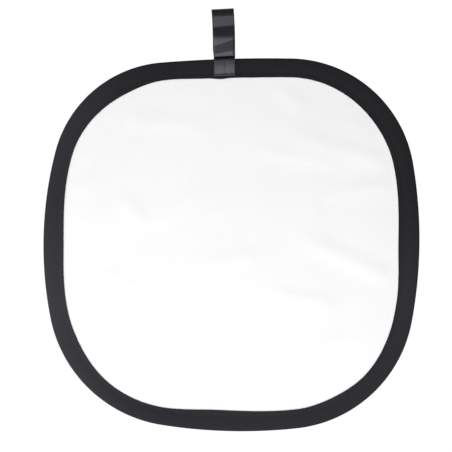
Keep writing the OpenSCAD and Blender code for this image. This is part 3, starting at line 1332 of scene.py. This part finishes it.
@dataclass
class Face:
    """One cloth face, stretched over the panel and held by the binding all round."""

    outline: Outline
    layer: Layer
    name: str
    slot: str
    creases: tuple[Crease, ...]
    seed: int
    cut_in: float = 4.0 * MM
    thickness: float = 0.3 * MM
    off_middle: float = 0.25 * MM
    grid: float = 3 * MM
    trim_pitch: float = 20 * MM
    sewn_in: float = 18 * MM
    loose_over: float = 14 * MM
    billow: float = 0.15 * MM
    crease_fades: Pair = (0.25, 0.35)
    crease_skew: float = 0.8
    ripples: int = 9
    ripple: float = 0.055 * MM
    ripple_lengths: Pair = (45, 110)

    def relief(self, x: np.ndarray, z: np.ndarray) -> np.ndarray:
        """How far the cloth stands out of flat at each place, away from the panel's middle.

        Args:
            x: the places across.
            z: their heights.

        Returns:
            One distance for each place.
        """
        half = np.array([self.outline.width, self.outline.height]) / 2
        at = np.stack([x - self.outline.x, z - self.outline.z], 1)
        out = np.zeros(len(at))
        for crease in self.creases:
            a, b = np.array(crease.start) * half, np.array(crease.end) * half
            way = b - a
            length = float(np.linalg.norm(way))
            way = way / length
            t = (at - a) @ way / length
            side = (at - a) @ np.array([-way[1], way[0]]) / crease.breadth
            ends = smooth(t / self.crease_fades[0]) * smooth((1.0 - t) / self.crease_fades[1])
            out += crease.depth * ends * np.exp(-(side**2)) * (1.0 + self.crease_skew * side)
        rng = np.random.default_rng(self.seed)
        for _ in range(self.ripples):
            length = rng.uniform(*self.ripple_lengths) * MM
            heading = rng.normal(math.pi / 2, 0.6)
            phase = rng.uniform(0, TURN)
            run = at @ np.array([math.cos(heading), math.sin(heading)])
            out += self.ripple * np.sin(TURN * run / length + phase)
        return out

    def inside(self, x: np.ndarray, z: np.ndarray) -> np.ndarray:
        """About how far each place is in from the outline.

        Args:
            x: the places across.
            z: their heights.

        Returns:
            One distance for each place.
        """
        at = np.stack([x, z], 1)
        places = stations(self.outline.ring(), 12 * MM)
        return np.min(
            [(place.arc.at(place.turned, 0.0) - at) @ np.array(place.outward().xz) for place in places], 0)

    def sheet(self) -> Piece:
        """The cut cloth: a grid, trimmed to the outline, creased and given its thickness.

        Returns:
            The cloth.
        """
        deselect()
        wide, tall = self.outline.width, self.outline.height
        columns, rows = round(wide / self.grid), round(tall / self.grid)
        bpy.ops.mesh.primitive_grid_add(x_subdivisions=columns, y_subdivisions=rows, size=1.0)
        obj = bpy.context.object
        obj.name = self.name
        lie = Matrix.Translation((self.outline.x, self.layer.value * self.off_middle, self.outline.z))
        stand = Matrix.Rotation(math.pi / 2, 4, "X") @ Matrix.Diagonal((wide, tall, 1.0, 1.0))
        obj.data.transform(lie @ stand)

        def trim() -> None:
            """Cuts away the cloth outside the outline."""
            for place in stations(self.outline.ring(), self.trim_pitch):
                bpy.ops.mesh.select_all(action="SELECT")
                cut = place.at(self.cut_in, 0.0)
                bpy.ops.mesh.bisect(plane_co=cut, plane_no=place.outward(), clear_outer=True)
            bpy.ops.mesh.select_all(action="SELECT")
            bpy.ops.mesh.remove_doubles(threshold=0.15 * MM)

        in_edit_mode(obj, trim)
        co = coordinates(obj)
        x, z = co[:, 0], co[:, 2]
        loose = smooth((self.inside(x, z) - self.sewn_in) / self.loose_over)
        co[:, 1] += self.layer.value * loose * (self.relief(x, z) + self.billow)
        set_coordinates(obj, co)
        set_uv(obj, np.stack([x - CAD_LOW.x, z - CAD_LOW.z], 1))
        thicken(obj, self.thickness)
        face_outwards(obj)
        shade(obj, 60)
        return obj

    def cut_area(self) -> float:
        """The flat area of the cut, from its outline.

        Returns:
            The area in square metres.
        """
        places = stations(self.outline.ring(), 6 * MM)
        edge = np.array([place.arc.at(place.turned, self.cut_in) for place in places])
        following = np.roll(edge, -1, 0)
        return abs(float((edge[:, 0] * following[:, 1] - edge[:, 1] * following[:, 0]).sum())) / 2

    def build(self, finish: ClothFinish, fold: Fold) -> Piece:
        """Builds and dresses the face.

        Args:
            finish: its cloth.
            fold: the stretch that bends.

        Returns:
            The face.
        """
        obj = self.sheet()
        place_for(obj, finish.material(), self.slot, self.name + "_upper", self.name + "_lower")
        self.cut_area()
        fold.bend(obj)
        return obj


# ---- the strap

@dataclass(frozen=True)
class Facet:
    """A flat stretch of the creased ribbon.

    rise is the height of its upper crease above the seam, slope is how fast it leans out from the
    middle going down, tilt is how fast its upper crease rises towards +X beside the seam's own, and
    bend is how gently that crease turns.
    """

    rise: float
    slope: float
    tilt: float
    bend: float = 0.5 * MM


@dataclass
class Strap:
    """The ribbon: a hanging loop above the rim, and the wrap that goes round it."""

    rim: Rim
    x: float
    width: float
    thickness: float = 0.5 * MM
    seam_rise: float = 1.1 * MM
    seam_tilt: float = 0.06
    seam_y: float = 0.35 * MM
    lean: float = 0.5 * MM
    step: float = 0.4 * MM
    bow: float = 14.8
    drawn_in: float = 0.04
    drawn_over: float = 9 * MM
    curl_width: float = 2.2 * MM
    curl_radius: float = 1.9 * MM
    curl_grows: float = 5 * MM
    curl_fades: float = 13 * MM
    curl_ends: float = 26 * MM
    columns: int = 30
    loop_rows: int = 110
    bend_rows: int = 34
    neck_rows: int = 40
    bend_rise: float = 6.9 * MM
    bend_fullness: float = 0.85
    wrap_end: float = 14.6 * MM
    wrap_gap: float = 0.6 * MM
    slack: float = 0.6 * MM
    hem_turn: float = 0.5 * MM
    pinch_at: float = 0.18
    pinch_breadth: float = 0.16
    pinch_depth: float = 0.16 * MM
    stitch: Point = (2.2 * MM, 0.36 * MM, 0.36 * MM)
    stitch_pitch: float = 2.7 * MM
    stitch_span: float = 0.84
    stitch_lift: float = 0.65 * MM
    hem_to_stitch: float = 1.2 * MM
    below_twist: float = 1.2 * MM
    twist_from: float = -6 * MM
    neck_bend: float = 1.4 * MM
    loop_length: float = 83 * MM
    wrap_length: float = 54 * MM
    front_facets: tuple[Facet, ...] = (
        Facet(1.0 * MM, -1.5, 0.0),
        Facet(4.7 * MM, -0.42, 0.13),
        Facet(13.5 * MM, -0.04, 0.28),
        Facet(18.6 * MM, -0.42, 0.0, 2.0 * MM),
        Facet(28.2 * MM, 0.30, 0.06),
        Facet(37.4 * MM, -0.32, 0.06),
    )
    rear_facets: tuple[Facet, ...] = (
        Facet(1.0 * MM, -1.2, 0.0),
        Facet(7.0 * MM, -0.30, 0.05),
        Facet(15.0 * MM, -0.06, -0.12),
        Facet(25.0 * MM, -0.28, 0.06),
        Facet(37.4 * MM, -0.04, 0.06),
    )

    def __post_init__(self) -> None:
        """Finds the rim's top edge under the strap."""
        self.crown, self.crown_slope = self.rim.outline.top_at(self.x)

    def seam_z(self, x: float) -> float:
        """Height of the pinched seam above the rim, at a place across the ribbon."""
        return self.crown + self.seam_rise + self.seam_tilt * x

    def facets(self, layer: Layer) -> tuple[Facet, ...]:
        """The facets of a layer, from the seam up."""
        return self.front_facets if layer is Layer.FRONT else self.rear_facets

    def stand(self, layer: Layer, x: float, h: float) -> float:
        """How far a layer stands off the middle, at a place across and a height above the seam.

        Each crease turns the ribbon over a short width, so that even a sharp one is a bend.

        Args:
            layer: the front or the rear layer.
            x: the place across.
            h: the height above the seam.

        Returns:
            The distance off the middle.
        """
        facets = self.facets(layer)
        out = self.seam_y - facets[0].slope * h
        for below, above in zip(facets, facets[1:], strict=False):
            past = h - below.rise - below.tilt * x
            out -= (above.slope - below.slope) * (past + math.hypot(past, below.bend)) / 2
        return out

    def middle_x(self, z: float) -> float:
        """Where the ribbon's middle is at a height: it bows to the left going up.

        Args:
            z: the height.

        Returns:
            The place across.
        """
        up = max(0.0, z - self.crown)
        stepped = float(smooth((up - 1 * MM) / self.drawn_over))
        return self.x + self.lean - self.step * stepped - self.bow * up**3

    def curled(self, u: float, grown: float) -> Pair:
        """A place across the ribbon whose edges curl back, as (x, how far back).

        Args:
            u: the share across, from -1 to 1.
            grown: how far the curl has grown here, from 0 to 1.

        Returns:
            The place across and the distance back.
        """
        side, flat = math.copysign(1.0, u), self.width / 2 - self.curl_width
        past = abs(u) * self.width / 2 - flat
        share = grown * (1.0 if u > 0 else 0.85)
        if past <= 0 or share < 0.01:
            return u * self.width / 2, 0.0
        reach = self.curl_radius / share
        angle = past / reach
        return side * (flat + reach * math.sin(angle)), reach * (1 - math.cos(angle))

    def layer_point(self, layer: Layer, u: float, h: float) -> Point:
        """A point of a layer above the seam.

        Args:
            layer: the front or the rear layer.
            u: the share across, from -1 to 1.
            h: the height above the seam.

        Returns:
            The point.
        """
        flat_x = u * self.width / 2
        z = self.seam_z(flat_x) + h
        grown = float(smooth(h / self.curl_grows) * smooth((self.curl_ends - h) / self.curl_fades))
        x, back = self.curled(u, grown * (1.0 if layer is Layer.FRONT else 0.5))
        y = self.stand(layer, flat_x, h) - back
        full = 1 - self.drawn_in * (1 - float(smooth(h / self.drawn_over)))
        return self.middle_x(z) + x * full, layer.value * y, z

    def top_rise(self) -> float:
        """Height of the top bend's ends above the seam."""
        return self.front_facets[-1].rise

    def bend_point(self, u: float, turn: float) -> Point:
        """A point of the top bend.

        Args:
            u: the share across, from -1 to 1.
            turn: the angle, 0 at the front and pi at the rear.

        Returns:
            The point.
        """
        front, rear = (Vector(self.layer_point(layer, u, self.top_rise())) for layer in Layer)
        middle, reach = (front + rear) / 2, (rear.y - front.y) / 2
        z = middle.z + self.bend_rise * math.sin(turn) ** self.bend_fullness
        return self.middle_x(z) + u * self.width / 2, middle.y - reach * math.cos(turn), z

    def across(self) -> list[float]:
        """The shares across the ribbon of its columns."""
        return np.linspace(-1.0, 1.0, self.columns + 1).tolist()

    def rows(self, layer: Layer, heights: Sequence[float]) -> list[list[Point]]:
        """Rows of points across a layer, at heights above the seam."""
        return [[self.layer_point(layer, u, h) for u in self.across()] for h in heights]

    def strip(self, rows: Sequence[Sequence[Point]], name: str, first: float) -> Piece:
        """A ribbon shaped from a flat grid, with its map and its thickness.

        Args:
            rows: the points across the ribbon, row by row along it.
            name: the object's name.
            first: where the map starts, along the ribbon from the pinched seam.

        Returns:
            The ribbon.
        """
        deselect()
        bpy.ops.mesh.primitive_grid_add(x_subdivisions=self.columns, y_subdivisions=len(rows) - 1, size=1.0)
        obj = bpy.context.object
        obj.name = name
        points = np.array(rows, float)
        set_coordinates(obj, points.reshape(-1, 3))
        middle = points[:, self.columns // 2]
        along = np.concatenate([[0.0], np.cumsum(np.linalg.norm(np.diff(middle, axis=0), axis=1))])
        across = np.linspace(0.0, self.width, self.columns + 1)
        set_uv(obj, np.stack(np.meshgrid(first + along, across, indexing="ij"), 2).reshape(-1, 2))
        thicken(obj, self.thickness)
        face_outwards(obj)
        shade(obj, 50)
        return obj

    def loop(self, split: float) -> Piece:
        """The hanging loop, from the split in front, over the peg, to the split behind.

        Args:
            split: how high above the seam it starts.

        Returns:
            The loop.
        """
        heights = np.linspace(split, self.top_rise(), self.loop_rows).tolist()
        turns = np.linspace(0, math.pi, self.bend_rows)[1:-1].tolist()
        rows = self.rows(Layer.FRONT, heights)
        rows += [[self.bend_point(u, turn) for u in self.across()] for turn in turns]
        rows += self.rows(Layer.REAR, heights[::-1])
        return self.strip(rows, "ribbon_loop", split)

    def wrap_line(self) -> list[Pair]:
        """The wrap's middle line below the seam, as (height off the mid-plane, inset), to its hem.

        Returns:
            The line, from just above the seam down.
        """
        rim = self.rim
        grow = self.wrap_gap + self.thickness / 2
        centre, radius = rim.half - rim.nose, rim.nose + grow
        line = [(self.seam_y + 0.15 * MM, 0.3 * MM - self.seam_rise), (centre * 0.7, -grow)]
        for share in np.linspace(0.0, 1.0, 10).tolist():
            angle = math.pi / 2 * (1 - share)
            height = centre + (radius + self.slack) * math.cos(angle)
            line.append((height, rim.nose - radius * math.sin(angle)))
        for share in np.linspace(1.0, 0.0, 22)[1:].tolist():
            height = rim.rise(share) + grow + self.slack * share
            line.append((height, rim.flat_from + (rim.nose - rim.flat_from) * share))
        foot = rim.foot + grow
        for share in np.linspace(0.0, 1.0, 6)[1:].tolist():
            line.append((foot, rim.flat_from + (self.wrap_end - rim.flat_from) * share))
        for share in np.linspace(0.0, 1.0, 5)[1:].tolist():
            angle = math.pi / 2 * share
            height = foot - self.hem_turn * (1 - math.cos(angle))
            line.append((height, self.wrap_end + self.hem_turn * math.sin(angle)))
        return line

    def wrap_strip(self, layer: Layer, split: float) -> Piece:
        """One side of the wrap, from the split down through the seam and over the rim to its hem.

        Args:
            layer: the side.
            split: how high above the seam it starts.

        Returns:
            The strip.
        """
        rows = self.rows(layer, np.linspace(split, 0.0, self.neck_rows).tolist())
        first = -float(np.linalg.norm(np.diff(np.array(rows)[:, self.columns // 2], axis=0), axis=1).sum())
        for height, inset in self.wrap_line():
            level = float(smooth((inset + self.seam_rise) / (3 * MM)))
            below = float(smooth(inset / (4 * MM)) * smooth((self.wrap_end - inset) / (3 * MM)))
            tilt = self.seam_tilt + (self.crown_slope - self.seam_tilt) * level
            row = []
            for u in self.across():
                x = u * self.width / 2 * (1 - self.drawn_in)
                pinch = math.exp(-(((u - self.pinch_at) / self.pinch_breadth) ** 2))
                y = height - self.pinch_depth * pinch * below
                row.append((self.x + self.lean + x, layer.value * y, self.crown - inset + tilt * x))
            rows.append(row)
        return self.strip(rows, "ribbon_wrap_" + layer.name.lower(), first)

    def wrap(self, split: float) -> Piece:
        """Both sides of the wrap, as one piece.

        Args:
            split: how high above the seam it starts.

        Returns:
            The wrap.
        """
        front, rear = (self.wrap_strip(layer, split) for layer in (Layer.FRONT, Layer.REAR))
        activate(front)
        rear.select_set(True)
        bpy.ops.object.join()
        front.name = "ribbon_wrap"
        return front

    def stitches(self) -> Piece:
        """The row of stitches across the wrap's foot, front and rear.

        Returns:
            The stitches.
        """
        surface = self.rim.foot + self.stitch_lift + self.thickness
        count = int(self.width * self.stitch_span / self.stitch_pitch)
        places = []
        for layer in Layer:
            for k in range(count):
                x = (k - (count - 1) / 2) * self.stitch_pitch
                z = self.crown - self.wrap_end + self.hem_to_stitch + self.crown_slope * x
                places.append(Matrix.Translation((self.x + self.lean + x, layer.value * surface, z)))
        return repeated(single_stitch(self.stitch), places, "ribbon_stitches")

    def build(self) -> list[Piece]:
        """Builds and dresses the strap.

        Returns:
            The loop, the wrap and the wrap's stitches.
        """
        twist, swing = joint_named("strap_twist")["pos_m"], joint_named("strap_swing")["pos_m"]
        split = twist[2] - self.below_twist - self.seam_z(0.0)
        loop, wrap, stitches = self.loop(split), self.wrap(split), self.stitches()
        finish = SATIN.material()
        place_for(loop, finish, "ribbon", "strap_loop")
        place_for(wrap, finish, "ribbon", "strap_neck", "strap_wrap")
        place_for(stitches, BLACK_THREAD.material(), "black_thread", "strap_stitches")
        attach(stitches, "panel_upper")
        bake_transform(loop)
        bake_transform(wrap)
        return [loop, wrap, stitches]


# ---- the studio

@dataclass
class Studio:
    """A pale floor far below the hanging panel, soft lights and the camera."""

    aim: Point
    seen: float
    distance: float = 2.0
    floor_z: float = -1.3
    floor_size: float = 5.6
    floor_tones: tuple[Point, Point] = ((0.80, 0.80, 0.80), (0.84, 0.84, 0.84))
    sensor: float = 36.0
    sky_heading: Point = (-0.84, 0.0, -0.54)
    sky_softness: float = 0.4
    seen_white: float = 1.02

    def floor(self) -> None:
        """A plain pale floor."""
        deselect()
        bpy.ops.mesh.primitive_plane_add(size=self.floor_size, location=(self.aim[0], 0.0, self.floor_z))
        obj = bpy.context.object
        obj.name = "floor"
        s = Surface("pale_floor")
        mottle = s.group(MOTTLE, s.in_place(), Scale=1.5)
        s.put(s.graph.mix(mottle.outputs["Broad"], *self.floor_tones), "Base Color")
        s.put(0.8, "Roughness")
        s.put(0.2, "Specular IOR Level")
        obj.data.materials.append(s.material)

    def light(self, name: str, at: Point, size: float, power: float, towards: Point) -> None:
        """A square soft light that looks at a place and isn't seen itself.

        Args:
            name: the light's name.
            at: where it is.
            size: the length of its side.
            power: its watts.
            towards: where it looks.
        """
        lamp = bpy.data.lights.new(name, "AREA")
        lamp.shape = "SQUARE"
        lamp.size = size
        lamp.energy = power
        obj = bpy.data.objects.new(name, lamp)
        bpy.context.scene.collection.objects.link(obj)
        obj.location = at
        obj.rotation_euler = (Vector(towards) - Vector(at)).to_track_quat("-Z", "Y").to_euler()
        obj.visible_camera = False

    def sky(self, low: float, high: float) -> None:
        """White all round to look at, and as a light strongest from the left and below.

        Args:
            low: its strength from the upper right.
            high: its strength from the lower left.
        """
        world = bpy.data.worlds.new("white_room")
        bpy.context.scene.world = world
        world.use_nodes = True
        g = Graph(world.node_tree)
        background = world.node_tree.nodes["Background"]
        heading = g.node("ShaderNodeVectorMath", operation="DOT_PRODUCT")
        g.put(g.node("ShaderNodeTexCoord").outputs["Generated"], heading.inputs[0])
        heading.inputs[1].default_value = self.sky_heading
        glow = g.ramp(heading.outputs["Value"], -self.sky_softness, self.sky_softness, low, high)
        direct = g.node("ShaderNodeLightPath").outputs["Is Camera Ray"]
        seen = g.math("MULTIPLY", direct, self.seen_white)
        g.put(g.math("MAXIMUM", glow, seen), background.inputs["Strength"])
        background.inputs["Color"].default_value = (1.0, 1.0, 1.0, 1.0)

    def camera(self) -> None:
        """Straight in front, level, framing the panel and its strap."""
        data = bpy.data.cameras.new("camera")
        data.sensor_width = self.sensor
        data.lens = self.sensor * self.distance / self.seen
        obj = bpy.data.objects.new("camera", data)
        bpy.context.scene.collection.objects.link(obj)
        obj.location = (self.aim[0], -self.distance, self.aim[2])
        obj.rotation_euler = (math.pi / 2, 0.0, 0.0)
        bpy.context.scene.camera = obj

    def build(self) -> None:
        """Sets the studio up."""
        bpy.context.scene.view_settings.view_transform = "Standard"
        self.camera()
        self.floor()
        self.sky(low=0.18, high=1.1)
        self.light("softbox", (-0.22, -0.80, -0.78), 0.9, 7.3, self.aim)
        self.light("floor_wash", (0.0, 0.0, self.floor_z + 0.6), 5.0, 50.0, (0.0, 0.0, self.floor_z))
        self.light("back_light", (0.4, 1.2, 0.4), 0.9, 5.0, self.aim)


# ---- all of it

def report(pieces: Iterable[Piece]) -> None:
    """Logs each piece and its size."""
    for piece in pieces:
        LOG.info("%s: %d faces", piece.name, len(piece.data.polygons))


def main() -> None:
    """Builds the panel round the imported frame."""
    logging.basicConfig(level=logging.INFO, format="%(message)s")
    deselect()
    Studio(aim=(1.9 * MM, 0.0, -191.5 * MM), seen=410 * MM).build()
    low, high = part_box("binding_upper")
    fold_z = joint_named("panel_fold")["pos_m"][2]
    outline = Outline(x=(low.x + high.x) / 2, z=fold_z, width=high.x - low.x, height=337 * MM)
    wrap_low, wrap_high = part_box("strap_wrap")
    strap_x, strap_width = (wrap_low.x + wrap_high.x) / 2, SATIN.width
    fold, rim = Fold(), Rim(outline, strap_x)
    front = Face(outline, Layer.FRONT, "front_face", "white_cloth", FRONT_CREASES, seed=3)
    rear = Face(outline, Layer.REAR, "rear_face", "black_cloth", REAR_CREASES, seed=5)
    report([*Hoop(outline).build(fold), front.build(WHITE_CLOTH, fold), rear.build(BLACK_CLOTH, fold)])
    report([*rim.build(fold), *Strap(rim, strap_x, strap_width).build()])


if __name__ == "__main__":
    main()
